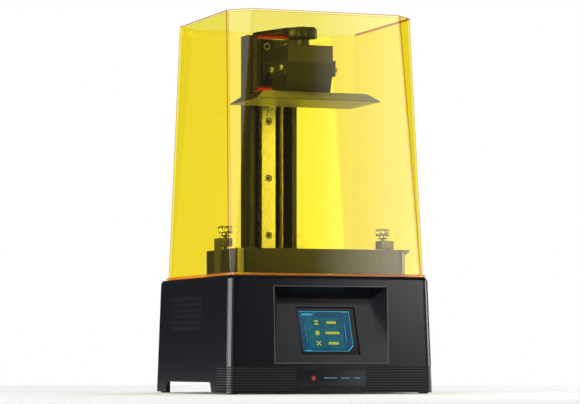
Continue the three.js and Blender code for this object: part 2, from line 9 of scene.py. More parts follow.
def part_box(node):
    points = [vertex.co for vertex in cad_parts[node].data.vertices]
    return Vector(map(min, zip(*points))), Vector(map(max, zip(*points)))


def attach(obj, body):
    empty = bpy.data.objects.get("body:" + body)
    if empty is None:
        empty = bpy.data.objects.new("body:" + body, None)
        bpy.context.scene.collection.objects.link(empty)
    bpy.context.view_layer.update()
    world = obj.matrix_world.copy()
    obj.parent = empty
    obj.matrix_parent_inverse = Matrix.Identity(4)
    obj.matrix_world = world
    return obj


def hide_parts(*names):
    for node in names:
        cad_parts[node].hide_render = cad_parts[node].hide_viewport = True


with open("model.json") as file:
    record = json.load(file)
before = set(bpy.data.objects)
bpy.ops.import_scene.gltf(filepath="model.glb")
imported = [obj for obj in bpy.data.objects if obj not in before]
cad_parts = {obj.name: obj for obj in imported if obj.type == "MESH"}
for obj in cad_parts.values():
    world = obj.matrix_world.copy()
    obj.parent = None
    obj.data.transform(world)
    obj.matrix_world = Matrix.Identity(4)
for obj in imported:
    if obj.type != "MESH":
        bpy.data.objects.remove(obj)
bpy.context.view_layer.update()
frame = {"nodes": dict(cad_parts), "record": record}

MM = 0.001

# ---------------------------------------------------------------- camera, light and floor


def set_tones():
    """Plain display transform, so that white stays white and the yellow stays saturated."""
    bpy.context.scene.view_settings.view_transform = "Standard"


def make_camera():
    """A long lens near the table, looking slightly up at the printer from its front left."""
    camera = bpy.data.objects.new("camera", bpy.data.cameras.new("camera"))
    bpy.context.scene.collection.objects.link(camera)
    swing, lift = math.radians(21.004), math.radians(3.414)
    look = Vector((math.sin(swing) * math.cos(lift), math.cos(swing) * math.cos(lift), math.sin(lift)))
    camera.location = (-1.0105, -2.6275, 0.0292)
    camera.rotation_euler = look.to_track_quat("-Z", "Y").to_euler()
    camera.data.lens = 169.17
    camera.data.sensor_width = 36
    camera.data.clip_end = 50
    bpy.context.scene.camera = camera


def area_light(name, place, aim, size, power):
    light = bpy.data.lights.new(name, "AREA")
    light.shape = "RECTANGLE"
    light.size, light.size_y = size
    light.energy = power
    holder = bpy.data.objects.new(name, light)
    holder.location = place
    holder.rotation_euler = (Vector(aim) - Vector(place)).to_track_quat("-Z", "Y").to_euler()
    bpy.context.scene.collection.objects.link(holder)


def glow_panel(name, place, turn_z, size, ramp):
    """Upright softbox seen in reflections, growing brighter from its first to its second side."""
    bpy.ops.mesh.primitive_plane_add(size=1, location=place, rotation=(math.pi / 2, 0, turn_z))
    panel = bpy.context.object
    panel.name = name
    panel.scale = (*size, 1)
    panel.visible_camera = False
    light = Paint(name)
    along = light.node("ShaderNodeSeparateXYZ", Vector=light.where).outputs["X"]
    glow = light.node("ShaderNodeEmission", Strength=light.span(along, *ramp, -0.5, 0.5))
    glow.inputs["Color"].default_value = (1, 1, 1, 1)
    light.tree.links.new(glow.outputs[0], light.output.inputs["Surface"])
    panel.data.materials.append(light.material)


SIDE_PANELS = (  # name, azimuth in degrees, height of its middle, size, brightness at its two sides
    ("panel_left_front", 218, 0.25, (0.95, 0.6), (22, 0)),
    ("panel_left_rear", 180, 0.25, (1.35, 0.6), (0, 22)),
    ("panel_left_facet", 201, 0.7, (0.5, 0.7), (2.2, 1.8)),
    ("panel_right_side", 350, 0.25, (0.6, 0.6), (8, 20)),
)


def make_lights():
    middle = (0, 0, 0.2)
    for name, azimuth, height, size, ramp in SIDE_PANELS:
        angle = math.radians(azimuth)
        place = (1.9 * math.cos(angle), 1.9 * math.sin(angle), height)
        glow_panel(name, place, angle + math.pi / 2, size, ramp)
    glow_panel("panel_right_high", (0.37, -0.75, 0.325), 0, (0.26, 0.37), (0.2, 11))
    glow_panel("panel_right_low", (0.37, -0.75, 0.02), 0, (0.26, 0.24), (0.0, 3.2))
    glow_panel("panel_right_top", (0.335, -0.75, 0.68), 0, (0.3, 0.2), (2, 4.5))
    area_light("key_left", (-1.3, -1.6, 1.5), middle, (0.7, 0.7), 2.5)
    area_light("overhead", (0.1, 0.3, 2.0), middle, (1.2, 1.2), 32)
    area_light("back_right", (1.5, 1.3, 0.9), middle, (0.8, 1.2), 8)


def make_world():
    """Dim grey surroundings for the light, plain white for what the camera sees directly."""
    world = bpy.data.worlds.new("studio")
    bpy.context.scene.world = world
    world.use_nodes = True
    nodes, links = world.node_tree.nodes, world.node_tree.links
    dim = nodes["Background"]
    dim.inputs["Color"].default_value = (0.9, 0.95, 1.0, 1)
    dim.inputs["Strength"].default_value = 0.06
    white = nodes.new("ShaderNodeBackground")
    white.inputs["Color"].default_value = (1, 1, 1, 1)
    white.inputs["Strength"].default_value = 1.0
    path = nodes.new("ShaderNodeLightPath")
    mix = nodes.new("ShaderNodeMixShader")
    links.new(path.outputs["Is Camera Ray"], mix.inputs[0])
    links.new(dim.outputs[0], mix.inputs[1])
    links.new(white.outputs[0], mix.inputs[2])
    links.new(mix.outputs[0], nodes["World Output"].inputs["Surface"])


def make_floor():
    bpy.ops.mesh.primitive_circle_add(vertices=96, radius=9, fill_type="NGON")
    floor = bpy.context.object
    floor.name = "floor"
    pale = Paint("pale_floor")
    pale.finish((0.9, 0.9, 0.9), 0.75, mottle=0.02, scale=6)
    pale.fade_out(0.35, 1.3)
    floor.data.materials.append(pale.material)


# ---------------------------------------------------------------- materials


MOST_MIRRORED = 0.09  # share of the surroundings that the clear sheets mirror at a slant


class Paint:
    """One material and the few node patterns that the finishes share."""

    def __init__(self, name):
        self.material = bpy.data.materials.new(name)
        self.material.use_nodes = True
        self.tree = self.material.node_tree
        self.shader = self.tree.nodes["Principled BSDF"]
        self.output = self.tree.nodes["Material Output"]
        self.where = self.node("ShaderNodeTexCoord").outputs["Object"]

    def node(self, kind, **sockets):
        made = self.tree.nodes.new(kind)
        for name, value in sockets.items():
            self.set(made.inputs[name.replace("_", " ")], value)
        return made

    def set(self, socket, value):
        if isinstance(value, bpy.types.NodeSocket):
            self.tree.links.new(value, socket)
        else:
            socket.default_value = value

    def noise(self, scale, detail=3, stretch=None, rough=0.55):
        vector = self.where
        if stretch:
            vector = self.node("ShaderNodeMapping", Vector=vector, Scale=stretch).outputs[0]
        return self.node(
            "ShaderNodeTexNoise", Vector=vector, Scale=scale, Detail=detail, Roughness=rough
        ).outputs["Fac"]

    def span(self, value, low, high, from_low=0.3, from_high=0.7):
        made = self.node("ShaderNodeMapRange", Value=value)
        made.inputs["From Min"].default_value = from_low
        made.inputs["From Max"].default_value = from_high
        made.inputs["To Min"].default_value = low
        made.inputs["To Max"].default_value = high
        return made.outputs[0]

    def mix(self, share, first, second):
        made = self.tree.nodes.new("ShaderNodeMix")
        made.data_type = "RGBA"
        self.set(made.inputs[0], share)
        self.set(made.inputs[6], first)
        self.set(made.inputs[7], second)
        return made.outputs[2]

    def maths(self, kind, first, second=0.5):
        made = self.tree.nodes.new("ShaderNodeMath")
        made.operation = kind
        self.set(made.inputs[0], first)
        self.set(made.inputs[1], second)
        return made.outputs[0]

    def all_of(self, first, *others):
        """1 where every mask is 1."""
        for other in others:
            first = self.maths("MULTIPLY", first, other)
        return first

    def edges(self, radius, sharpness=6.0):
        """1 along outer edges and corners, 0 on flat faces."""
        bevel = self.node("ShaderNodeBevel", Radius=radius)
        bevel.samples = 4
        face = self.node("ShaderNodeNewGeometry").outputs["Normal"]
        dot = self.tree.nodes.new("ShaderNodeVectorMath")
        dot.operation = "DOT_PRODUCT"
        self.tree.links.new(bevel.outputs[0], dot.inputs[0])
        self.tree.links.new(face, dot.inputs[1])
        away = self.maths("SUBTRACT", 1.0, dot.outputs["Value"])
        clamp = self.maths("MULTIPLY", away, sharpness)
        return self.maths("MINIMUM", clamp, 1.0)

    def bump(self, height, strength, distance):
        made = self.node("ShaderNodeBump", Height=height, Strength=strength, Distance=distance)
        self.set(self.shader.inputs["Normal"], made.outputs[0])

    def finish(
        self, colour, roughness, metallic=0.0, *, mottle=0.06, scale=25, vary=0.08,
        grain=0.0, grain_scale=1800, stretch=None, wear_and_highlight=0.0, wear_and_highlight_colour=None, wear_and_highlight_radius=0.0005,
        specular=0.5, coat=0.0,
    ):
        """Colour mottle, roughness variation, fine grain in the normal and lighter edges, which stand for
        wearing and, where a paint turns them up as the housing does, for painted highlights along the edges.
        """
        base = (*colour, 1)
        darker = (*(c * (1 - 2 * mottle) for c in colour), 1)
        lighter = (*(min(1.0, c * (1 + 2 * mottle)) for c in colour), 1)
        cloud = self.noise(scale)
        shade = self.mix(self.span(cloud, 0, 1), darker, lighter) if mottle else base
        fine = self.noise(grain_scale, detail=2, stretch=stretch)
        rough = self.span(fine, max(0.02, roughness - vary), min(1, roughness + vary))
        # Lighter edges: wearing, and painted highlight where a paint turns them up.
        if wear_and_highlight:
            patchy = self.span(self.noise(90, detail=4), 0.3, 1.0)
            edge = self.maths("MULTIPLY", self.edges(wear_and_highlight_radius), patchy)
            edge = self.maths("MULTIPLY", edge, wear_and_highlight)
            worn_and_lit = (*(wear_and_highlight_colour or tuple(min(1, c * 2.2 + 0.03) for c in colour)), 1)
            shade = self.mix(edge, shade, worn_and_lit)
        self.set(self.shader.inputs["Base Color"], shade)
        self.set(self.shader.inputs["Roughness"], rough)
        self.shader.inputs["Metallic"].default_value = metallic
        self.shader.inputs["Specular IOR Level"].default_value = specular
        self.shader.inputs["Coat Weight"].default_value = coat
        if grain:
            self.bump(fine, grain, 0.00006)
        return self.material

    def textured_metal(self, colour, roughness, *, brushed, wear_and_highlight=0.0):
        """Bare metal; `brushed` stretches the grain along one axis, as grinding or turning does."""
        return self.finish(
            colour, roughness, 1.0, mottle=0.02, scale=30, vary=0.05, grain=0.05, grain_scale=5000,
            stretch=brushed, wear_and_highlight=wear_and_highlight,
        )

    def see_through(
        self, tint, edge_tint, slants=(0.1, 1.0), *, gloss=0.03, haze=0.004,
        haze_colour=(1, 0.95, 0.55), shine=1.0,
    ):
        """Clear tinted sheet: straight view through, deeper tint at a slant, mirror gloss by Fresnel."""
        slant = self.tree.nodes.new("ShaderNodeLayerWeight")
        slant.inputs["Blend"].default_value = 0.5
        share = self.span(slant.outputs["Facing"], 0, 1, *slants)
        through = self.node("ShaderNodeBsdfTransparent")
        self.set(through.inputs["Color"], self.mix(share, (*tint, 1), (*edge_tint, 1)))
        self.set(self.shader.inputs["Base Color"], (*haze_colour, 1))
        self.set(self.shader.inputs["Roughness"], 0.5)
        mirror = self.node("ShaderNodeBsdfAnisotropic", Color=(shine, shine, shine, 1))
        self.set(mirror.inputs["Roughness"], self.span(self.noise(40, detail=2), gloss, gloss + 0.03))
        fresnel = self.node("ShaderNodeFresnel", IOR=1.49)
        outside = self.maths("SUBTRACT", 1.0, self.node("ShaderNodeNewGeometry").outputs["Backfacing"])
        cloudy = self.tree.nodes.new("ShaderNodeMixShader")
        cloudy.inputs[0].default_value = haze
        self.tree.links.new(through.outputs[0], cloudy.inputs[1])
        self.tree.links.new(self.shader.outputs[0], cloudy.inputs[2])
        glossy = self.tree.nodes.new("ShaderNodeMixShader")
        mirrored = self.maths("MINIMUM", fresnel.outputs[0], MOST_MIRRORED)
        self.set(glossy.inputs[0], self.maths("MULTIPLY", mirrored, outside))
        self.tree.links.new(cloudy.outputs[0], glossy.inputs[1])
        self.tree.links.new(mirror.outputs[0], glossy.inputs[2])
        self.tree.links.new(glossy.outputs[0], self.output.inputs["Surface"])
        self.material.use_transparent_shadow = True
        return self.material

    def fade_out(self, start, end):
        """Lets the surface disappear with distance from its own centre."""
        reach = self.tree.nodes.new("ShaderNodeVectorMath")
        reach.operation = "LENGTH"
        self.tree.links.new(self.where, reach.inputs[0])
        mix = self.tree.nodes.new("ShaderNodeMixShader")
        self.set(mix.inputs[0], self.span(reach.outputs["Value"], 0, 1, start, end))
        self.tree.links.new(self.shader.outputs[0], mix.inputs[1])
        self.tree.links.new(self.node("ShaderNodeBsdfTransparent").outputs[0], mix.inputs[2])
        self.tree.links.new(mix.outputs[0], self.output.inputs["Surface"])

    def glow(self, colour, strength, variation=0.15, scale=70):
        """Lit display surface with a little unevenness."""
        shade = self.mix(
            self.span(self.noise(scale), 0, variation * 2), (*colour, 1), (*(c * 0.55 for c in colour), 1)
        )
        self.set(self.shader.inputs["Base Color"], self.mix(0.85, shade, (0, 0, 0, 1)))
        self.set(self.shader.inputs["Emission Color"], shade)
        self.shader.inputs["Emission Strength"].default_value = strength
        self.shader.inputs["Specular IOR Level"].default_value = 0.1
        self.set(self.shader.inputs["Roughness"], self.span(self.noise(900), 0.08, 0.2))
        return self.material


# metres; `start`, `pitch`, `groove` and `count` run up the foot, `back` and `label` bound the ribs
RIBS = {"start": 0.0028, "pitch": 0.0026, "groove": 0.001, "count": 9.4, "back": -0.081, "label": 0.038}
# bounds of the lighter field painted round the side vent slots: painted light for the lit slot rims
VENT_FIELD = {"side": 0.1, "Y": (-0.028, 0.062), "Z": (0.0635, 0.0985)}


def ribbed_housing():
    """Charcoal moulding: a rougher ribbed foot with painted light on its lands and painted shade in its
    grooves, and a lighter field painted round the side vent slots as light on their rims.
    """
    paint = Paint("moulded_charcoal")
    # The lighter edges here are partly wearing and partly painted highlight, turned up so that the rims of
    # the vent slots and the rib edges look lit.
    paint.finish(
        (0.0028, 0.0032, 0.0052), 0.25, mottle=0.05, scale=14, vary=0.04, grain=0.25,
        grain_scale=2600, wear_and_highlight=0.6, wear_and_highlight_colour=(0.07, 0.075, 0.085), wear_and_highlight_radius=0.0006, specular=0.27,
    )
    place = paint.node("ShaderNodeSeparateXYZ", Vector=paint.where).outputs
    aside = paint.maths("ABSOLUTE", place["X"])
    along = paint.maths("DIVIDE", paint.maths("SUBTRACT", place["Z"], RIBS["start"]), RIBS["pitch"])
    groove = paint.maths("LESS_THAN", paint.maths("FRACT", along), RIBS["groove"] / RIBS["pitch"])
    beside_label = paint.maths("GREATER_THAN", aside, RIBS["label"])
    corner = paint.maths("GREATER_THAN", place["Y"], -0.1)
    zone = paint.all_of(
        paint.maths("GREATER_THAN", along, 0.0),
        paint.maths("LESS_THAN", along, RIBS["count"]),
        paint.maths("LESS_THAN", place["Y"], RIBS["back"]),
        paint.maths("MAXIMUM", beside_label, corner),
    )
    vent_painted_light = paint.all_of(
        paint.maths("GREATER_THAN", aside, VENT_FIELD["side"]),
        *(paint.maths("GREATER_THAN", place[axis], VENT_FIELD[axis][0]) for axis in "YZ"),
        *(paint.maths("LESS_THAN", place[axis], VENT_FIELD[axis][1]) for axis in "YZ"),
    )
    plain = paint.shader.inputs["Base Color"].links[0].from_socket
    # Painted light: the field round the side vent slots is lighter, standing in for light on the slot rims.
    plain = paint.mix(vent_painted_light, plain, (0.0075, 0.008, 0.0105, 1))
    rough = paint.shader.inputs["Roughness"].links[0].from_socket
    # Painted light and shade on the ribbed foot: the lands are painted lighter, as lit, and the grooves
    # darker, as shaded.
    rib_painted_light_and_shade = paint.mix(groove, (0.013, 0.0134, 0.017, 1), (0.001, 0.001, 0.0015, 1))
    paint.set(paint.shader.inputs["Base Color"], paint.mix(zone, plain, rib_painted_light_and_shade))
    rougher = paint.maths("MULTIPLY", zone, paint.span(groove, 0.1, 0.6, 0, 1))
    paint.set(paint.shader.inputs["Roughness"], paint.maths("ADD", rough, rougher))
    return paint.material


def make_paints():
    along_z = (1, 1, 0.04)
    across = (0.06, 1, 1)
    return {
        "housing": ribbed_housing(),
        "black_plastic": Paint("satin_black").finish(
            (0.014, 0.014, 0.016), 0.36, vary=0.07, grain=0.3, wear_and_highlight=0.4, wear_and_highlight_colour=(0.06, 0.06, 0.06)
        ),
        "gloss_black": Paint("gloss_black").finish(
            (0.006, 0.006, 0.008), 0.12, vary=0.04, grain=0.04, coat=0.4
        ),
        "screen": Paint("screen_glass").finish(
            (0.004, 0.004, 0.006), 0.12, vary=0.04, grain=0.04, specular=0.12
        ),
        "dark_metal": Paint("powder_coat").finish(
            (0.02, 0.021, 0.023), 0.48, vary=0.09, grain=0.6, grain_scale=1300, wear_and_highlight=0.5,
            wear_and_highlight_colour=(0.1, 0.1, 0.1),
        ),
        "anodised": Paint("black_anodised").finish(
            (0.02, 0.021, 0.023), 0.34, 0.55, mottle=0.04, scale=40, vary=0.05, grain=0.06, grain_scale=5000,
            stretch=along_z, wear_and_highlight=0.7, wear_and_highlight_colour=(0.2, 0.2, 0.21),
        ),
        "vat_metal": Paint("vat_anodised").finish(
            (0.045, 0.046, 0.05), 0.3, 0.6, mottle=0.04, scale=40, vary=0.05, grain=0.06, grain_scale=4000,
            stretch=across, wear_and_highlight=0.8, wear_and_highlight_colour=(0.25, 0.25, 0.26),
        ),
        "clamp_metal": Paint("satin_grey").finish(
            (0.13, 0.13, 0.13), 0.36, 0.6, mottle=0.05, scale=60, vary=0.06, grain=0.08, grain_scale=4000,
            wear_and_highlight=0.6, wear_and_highlight_colour=(0.3, 0.3, 0.3),
        ),
        "steel": Paint("ground_steel").textured_metal((0.46, 0.465, 0.47), 0.26, brushed=along_z, wear_and_highlight=0.3),
        "bright_steel": Paint("turned_steel").textured_metal(
            (0.42, 0.42, 0.41), 0.3, brushed=(1, 1, 12), wear_and_highlight=0.4
        ),
        "aluminium": Paint("sanded_aluminium").textured_metal(
            (0.66, 0.67, 0.68), 0.4, brushed=across, wear_and_highlight=0.2
        ),
        "brass": Paint("turned_brass").textured_metal((0.7, 0.5, 0.22), 0.3, brushed=(1, 1, 10)),
        "red": Paint("red_seal").finish((0.75, 0.035, 0.02), 0.4, vary=0.08, grain=0.25),
        "rubber": Paint("moulded_rubber").finish(
            (0.012, 0.012, 0.013), 0.85, vary=0.1, grain=0.8, grain_scale=900
        ),
        "circuit": Paint("board_laminate").finish((0.02, 0.11, 0.06), 0.4, mottle=0.2, scale=220, vary=0.1),
        "film": Paint("release_film").see_through((0.93, 0.93, 0.9), (0.8, 0.8, 0.75), haze=0.03),
        "cover": Paint("cover_sheet").see_through((0.997, 0.938, 0.45), (0.995, 0.935, 0.27)),
        # The roof goes nearly white at a slant: painted reflection standing in for the pale sheen the roof
        # mirrors at a grazing view.
        "cover_top_painted_reflection": Paint("cover_roof_painted_reflection").see_through((0.995, 0.955, 0.4), (1, 1, 0.93), (0.45, 0.85)),
        "cover_fold": Paint("cover_fold").see_through(
            (0.98, 0.93, 0.42), (0.6, 0.2, 0.04), (0.2, 0.42), gloss=0.15,
            haze=0.02, haze_colour=(0.9, 0.45, 0.06), shine=0.3,
        ),
        "cover_edge": Paint("cover_cut_edge").see_through(
            (0.97, 0.66, 0.22), (0.93, 0.5, 0.08), gloss=0.08, haze=0.3, haze_colour=(0.95, 0.4, 0.03)
        ),
        # The bead is painted lighter than the housing: a painted highlight along the raised bead.
        "ridge": Paint("recess_bead_painted_highlight").finish(
            (0.05, 0.052, 0.06), 0.35, mottle=0.08, scale=60, vary=0.06, grain=0.2, wear_and_highlight=0.4
        ),
        "plated": Paint("plated_steel").finish(
            (0.5, 0.5, 0.5), 0.34, 0.5, mottle=0.08, scale=150, vary=0.08, grain=0.15, wear_and_highlight=0.6,
            wear_and_highlight_colour=(0.8, 0.8, 0.8), wear_and_highlight_radius=0.0003,
        ),
        "rolled_steel": Paint("rolled_screw").textured_metal(
            (0.62, 0.54, 0.4), 0.2, brushed=(1, 1, 6), wear_and_highlight=0.5
        ),
    }


SLOT_PAINT = {
    "housing_plastic": "housing", "black_plastic": "black_plastic", "label": "gloss_black",
    "dark_metal": "dark_metal", "anodised": "anodised", "steel": "steel", "aluminium": "aluminium",
    "brass": "brass", "red_plastic": "red", "rubber": "rubber", "circuit_board": "circuit",
    "screen_glass": "screen", "film": "film", "cover_acrylic": "cover", "cover_edge": "cover_edge",
}
NODE_PAINT = {
    "resin_vat": "vat_metal", "vat_clamp_left": "clamp_metal", "vat_clamp_right": "clamp_metal",
}
ROUND_OFF = {  # width in mm of the rounding on a node's edges
    "base_housing": 0.35, "resin_vat": 0.5, "column": 0.4, "column_cap": 0.4, "carriage_arm": 0.5,
    "platform_head": 0.4, "platform_saddle": 0.4, "build_plate": 0.25, "carriage_block": 0.5,
    "upper_seal": 0.3, "lower_seal": 0.3, "vat_clamp_left": 0.5, "vat_clamp_right": 0.5,
    "linear_rail": 0.25, "deck_plate": 0.3, "power_switch": 0.3, "power_rocker": 0.4, "nut_bracket": 0.3,
    "touch_screen": 0.3, "front_label_plate": 0.2, "stepper_motor": 0.5, "fan_frame": 0.4,
}


TWO_TONE_AND_SHADED_SIDES = {  # paint of most faces, paint of the others, and which those are
    "build_plate": ("anodised", "aluminium", lambda normal: normal.z < -0.6),
    # On the seals the side faces are black: painted shade on the flanks of the seals.
    "upper_seal": ("red", "black_plastic", lambda normal: abs(normal.x) > 0.7),
    "lower_seal": ("red", "black_plastic", lambda normal: abs(normal.x) > 0.7),
}


def soften(mesh, angle=32):
    for face in mesh.polygons:
        face.use_smooth = True
    mesh.set_sharp_from_angle(angle=math.radians(angle))


def flatten_faces(thing):
    """Large faces shade flat, and the roundings between them take up the turn."""
    thing.modifiers.new("face_normals", "WEIGHTED_NORMAL").keep_sharp = True


def split_faces(mesh, most, few, chosen):
    """One paint on most faces and another on those that face the chosen way."""
    mesh.materials.clear()
    mesh.materials.append(most)
    mesh.materials.append(few)
    for face in mesh.polygons:
        face.material_index = 1 if chosen(face.normal) else 0


def dress_nodes(paints):
    """Finish and edge rounding of the CAD nodes that stay visible."""
    for entry in frame["record"]["subparts"]:
        node = entry["node"]
        thing = frame["nodes"][node]
        paint = NODE_PAINT.get(node, SLOT_PAINT[entry["material_slot"]])
        thing.data.materials.clear()
        thing.data.materials.append(paints[paint])
        soften(thing.data)
        if node in TWO_TONE_AND_SHADED_SIDES:
            most, few, chosen = TWO_TONE_AND_SHADED_SIDES[node]
            split_faces(thing.data, paints[most], paints[few], chosen)
        if node in ROUND_OFF:
            bevel = thing.modifiers.new("round_off", "BEVEL")
            bevel.width = ROUND_OFF[node] * MM
            bevel.segments = 2
            bevel.limit_method = "ANGLE"
            bevel.angle_limit = math.radians(35)
            bevel.use_clamp_overlap = True
        flatten_faces(thing)


# ---------------------------------------------------------------- mesh helpers (sizes in mm)


def new_piece(name, bm, paint, body, smooth=32):
    """A finished mesh in millimetres becomes a piece that rides on a body."""
    bmesh.ops.recalc_face_normals(bm, faces=bm.faces)
    bmesh.ops.scale(bm, vec=(MM, MM, MM), verts=bm.verts)
    mesh = bpy.data.meshes.new(name)
    bm.to_mesh(mesh)
    bm.free()
    soften(mesh, smooth)
    thing = bpy.data.objects.new(name, mesh)
    bpy.context.scene.collection.objects.link(thing)
    for material in paint if isinstance(paint, (list, tuple)) else [paint]:
        mesh.materials.append(material)
    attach(thing, body)
    return thing


def add_ring_stack(bm, rings, closed=True):
    """Skin over rings of points; the first and last ring are capped when `closed`."""
    loops = [[bm.verts.new(point) for point in ring] for ring in rings]
    count = len(loops[0])
    for low, high in zip(loops, loops[1:]):
        for i in range(count):
            j = (i + 1) % count
            bm.faces.new((low[i], low[j], high[j], high[i]))
    if closed:
        bm.faces.new(reversed(loops[0]))
        bm.faces.new(loops[-1])
    return loops


def close_stack(bm, loops):
    """Joins the last ring back to the first, for a form with a hole through it."""
    first, last = loops[0], loops[-1]
    for i in range(len(first)):
        j = (i + 1) % len(first)
        bm.faces.new((last[i], last[j], first[j], first[i]))


def turn(bm, profile, centre, axis="Z", sides=32, wobble=None):
    """Turned form: profile points are (radius, along the axis); `wobble` scales radius by angle."""
    rings = []
    for radius, height in profile:
        ring = []
        for i in range(sides):
            angle = 2 * math.pi * i / sides
            r = radius * (wobble(angle, radius) if wobble else 1)
            a, b = r * math.cos(angle), r * math.sin(angle)
            offset = {"Z": (a, b, height), "X": (height, a, b), "Y": (b, height, a)}[axis]
            ring.append(Vector(centre) + Vector(offset))
        rings.append(ring)
    add_ring_stack(bm, rings)


def add_box(bm, low, high, rounding):
    """Box with rounded edges between two corners."""
    size = Vector(high) - Vector(low)
    centre = (Vector(high) + Vector(low)) / 2
    made = bmesh.ops.create_cube(bm, size=1)
    bmesh.ops.scale(bm, vec=size, verts=made["verts"])
    bmesh.ops.translate(bm, vec=centre, verts=made["verts"])
    edges = list({edge for vert in made["verts"] for edge in vert.link_edges})
    bmesh.ops.bevel(bm, geom=edges, offset=rounding, segments=2, profile=0.5, affect="EDGES")


def box_mm(node):
    low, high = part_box(node)
    return low / MM, high / MM


def socket_screw(bm, centre, axis, radius, height, out=1, key=0.58):
    """Cap screw: head of that radius and height standing `out` along the axis, with a hexagon socket.

    The socket's faces get the second material, which paints the shade inside the socket.
    """
    others = set(bm.faces)
    c = min(0.35, height * 0.25)
    head = [(0.001, 0), (radius, 0), (radius, out * (height - c)), (radius - c, out * height)]
    inner = radius * key
    well = [(inner * 1.05, out * height), (inner, out * (height - 0.15)), (inner, out * height * 0.35),
            (0.001, out * height * 0.3)]
    turn(bm, head + well, centre, axis, sides=30, wobble=lambda angle, r: (
        1 if r > inner * 1.02 else math.cos(math.pi / 6) / math.cos((angle % (math.pi / 3)) - math.pi / 6)
    ))
    along = "XYZ".index(axis)
    for face in set(bm.faces) - others:
        offset = face.calc_center_median() - Vector(centre)
        standing = out * offset[along]
        offset[along] = 0
        if offset.length < inner * 1.04 and standing > height * 0.2:
            face.material_index = 1


# ---------------------------------------------------------------- cover


def chamfer_ring(width, depth, cut, z, y):
    w, d = width / 2, depth / 2
    corners = [(w, -d + cut), (w, d - cut), (w - cut, d), (-w + cut, d),
               (-w, d - cut), (-w, -d + cut), (-w + cut, -d), (w - cut, -d)]
    return [(px, y + py, z) for px, py in corners]


COVER_WALL = 2.5
REAR_FOLDS = 55.0  # folds behind this line are left as clear as the sheets,
LEFT_FOLD = -97.0  # apart from the one on the far left
COVER_CUT = {"bottom": 4.5, "top": 20.5}


def cover_rings(z_low, z_high, grow=0.0):
    """Outline of the tapered cover at two heights, grown outwards by `grow`."""
    low, high = box_mm("cover")
    top = (199.5, 187.3)
    bottom = (high.x - low.x, high.y - low.y)
    y = (high.y + low.y) / 2

    def ring(z):
        share = (z - low.z) / (high.z - low.z)
        width, depth = (b + (t - b) * share + 2 * grow for b, t in zip(bottom, top))
        cut = COVER_CUT["bottom"] + (COVER_CUT["top"] - COVER_CUT["bottom"]) * share
        return chamfer_ring(width, depth, cut + grow * (2 - math.sqrt(2)), z, y)

    return [ring(z_low), ring(z_high)]


def make_cover(paints):
    """Moulded transparent hood: eight flat sides and a flat top, edge-lit along its folds."""
    low, high = box_mm("cover")
    bm = bmesh.new()
    loops = add_ring_stack(bm, cover_rings(low.z, high.z), closed=False)
    bm.faces.new(loops[-1])
    folds = [edge for edge in bm.edges if len(edge.link_faces) == 2]
    bmesh.ops.bevel(bm, geom=folds, offset=1.6, segments=3, profile=0.5, affect="EDGES", material=1)
    for face in bm.faces:
        middle = face.calc_center_median()
        if face.normal.z > 0.98:
            face.material_index = 2
        elif middle.y > REAR_FOLDS and middle.x > LEFT_FOLD:
            face.material_index = 0
    sheets = [paints["cover"], paints["cover_fold"], paints["cover_top_painted_reflection"]]
    cover = new_piece("clear_cover", bm, sheets, "cover", 25)
    shell = cover.modifiers.new("wall", "SOLIDIFY")
    shell.thickness = COVER_WALL * MM
    shell.offset = -1
    shell.use_even_offset = True
    shell.material_offset_rim = 1
    flatten_faces(cover)
    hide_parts("cover")


def make_cover_rim(paints):
    """Foot flange of the hood: an outward lip with rounded edges."""
    low, high = box_mm("cover_rim")
    start = box_mm("cover")[0].z
    outer = 1.9
    steps = [
        (outer - 0.5, low.z), (outer, low.z + 0.5), (outer, high.z - 0.7), (outer - 0.7, high.z),
        (0.2, start),
    ]
    inner = [(-COVER_WALL, start), (-COVER_WALL, low.z)]
    bm = bmesh.new()
    rings = [cover_rings(z, z + 1, grow)[0] for grow, z in steps + inner]
    close_stack(bm, add_ring_stack(bm, rings, closed=False))
    rim = new_piece("cover_foot_flange", bm, paints["cover_edge"], "cover", 40)
    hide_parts("cover_rim")


# ---------------------------------------------------------------- touch screen and recess

SLOPE = math.atan2(23, 64)  # lean of the screen's plane
SLOPE_UP = Vector((0, math.sin(SLOPE), math.cos(SLOPE)))
SLOPE_OUT = Vector((0, -math.cos(SLOPE), math.sin(SLOPE)))


def slope_matrix(lift, shift):
    """Places X-Y drawings on the screen's glass, `lift` above its face and `shift` from its middle."""
    low, high = box_mm("touch_screen")
    glass = frame["nodes"]["touch_screen"]
    middle = (low + high) / 2
    face = max((glass.matrix_world @ v.co / MM - middle).dot(SLOPE_OUT) for v in glass.data.vertices)
    at = middle + SLOPE_OUT * (face + lift)
    at += Vector((shift[0], 0, 0)) + SLOPE_UP * shift[1]
    across = Vector((1, 0, 0))
    return Matrix((
        (across.x, SLOPE_UP.x, SLOPE_OUT.x, at.x), (across.y, SLOPE_UP.y, SLOPE_OUT.y, at.y),
        (across.z, SLOPE_UP.z, SLOPE_OUT.z, at.z), (0, 0, 0, 1),
    ))


def plate_shape(bm, outline, thick, matrix):
    """Flat plate from an outline in X and Y, laid by the matrix."""
    add_ring_stack(bm, [[matrix @ Vector((x, y, z)) for x, y in outline] for z in (0, thick)])


def rectangle(x, y, width, height):
    w, h = width / 2, height / 2
    return [(x - w, y - h), (x + w, y - h), (x + w, y + h), (x - w, y + h)]


def disc(x, y, radius, sides=20, teeth=0, depth=0.22):
    """Circle, or a toothed wheel when `teeth` is set."""
    sides = teeth * 4 if teeth else sides
    outline = []
    for i in range(sides):
        r = radius * (1 - depth * ((i // 2) % 2)) if teeth else radius
        angle = 2 * math.pi * i / sides
        outline.append((x + r * math.cos(angle), y + r * math.sin(angle)))
    return outline


